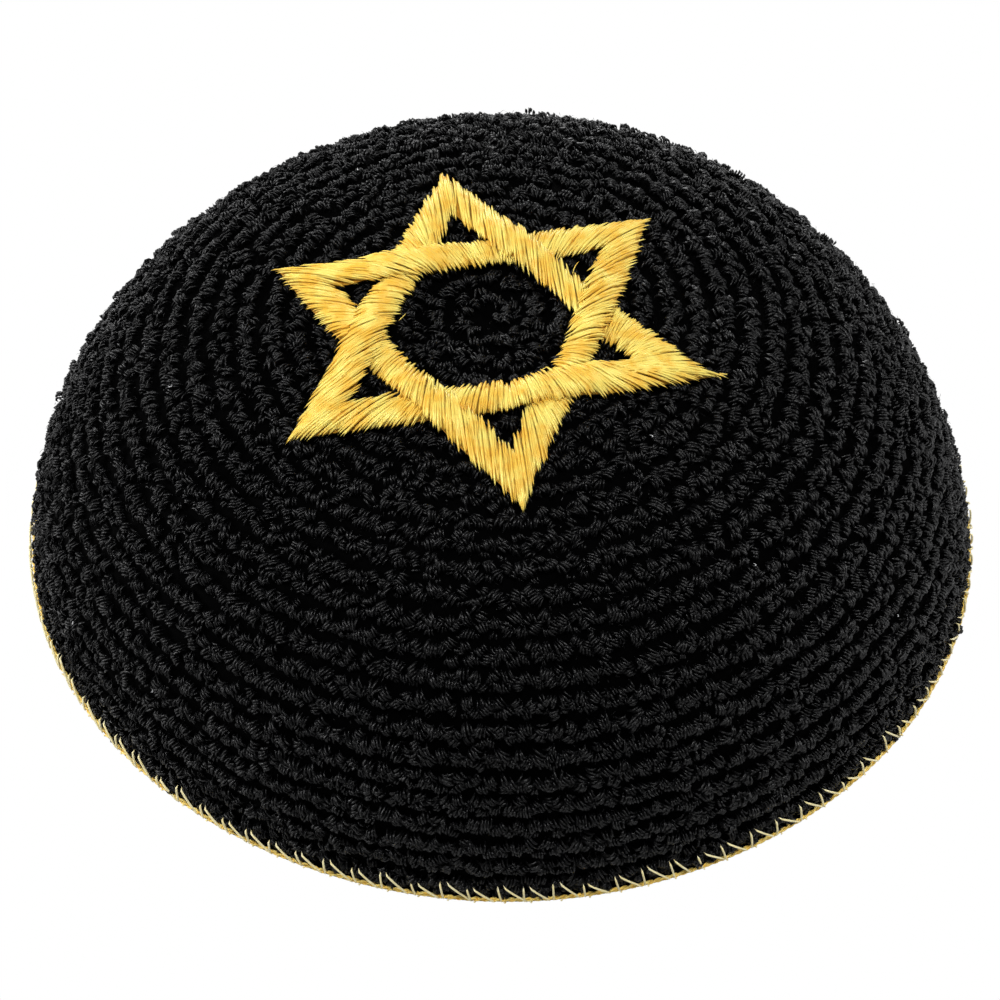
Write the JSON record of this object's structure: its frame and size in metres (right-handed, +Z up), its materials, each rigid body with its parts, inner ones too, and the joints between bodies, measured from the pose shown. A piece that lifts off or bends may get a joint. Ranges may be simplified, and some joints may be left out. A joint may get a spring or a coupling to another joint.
{
  "type": "crocheted skullcap",
  "caption": "Shallow hollow skullcap crocheted in one spiral, with an interlaced six-pointed star in satin stitch on top and a thin edging round the rim.",
  "frame": {"origin": "middle of the foot of the rim, on the ground that the cap stands on", "axes": "+Z up through the top of the crown, -Y to the front, which is the side with a single star tip to the middle, +X to the wearer's left"},
  "size_m": [0.1766, 0.167, 0.0631],
  "materials": {
    "black_yarn": "matt fuzzy black cotton yarn, single crochet",
    "gold_metallic_thread": "thin twisted gold metallic thread, lively shine",
    "gold_satin_thread": "golden yellow satin-stitch embroidery thread, soft silky shine"
  },
  "bodies": {
    "root": {"crown": "black_yarn", "rim_edging": "gold_metallic_thread", "star_triangle_back": "gold_satin_thread", "star_triangle_front": "gold_satin_thread"}
  },
  "joints": []
}
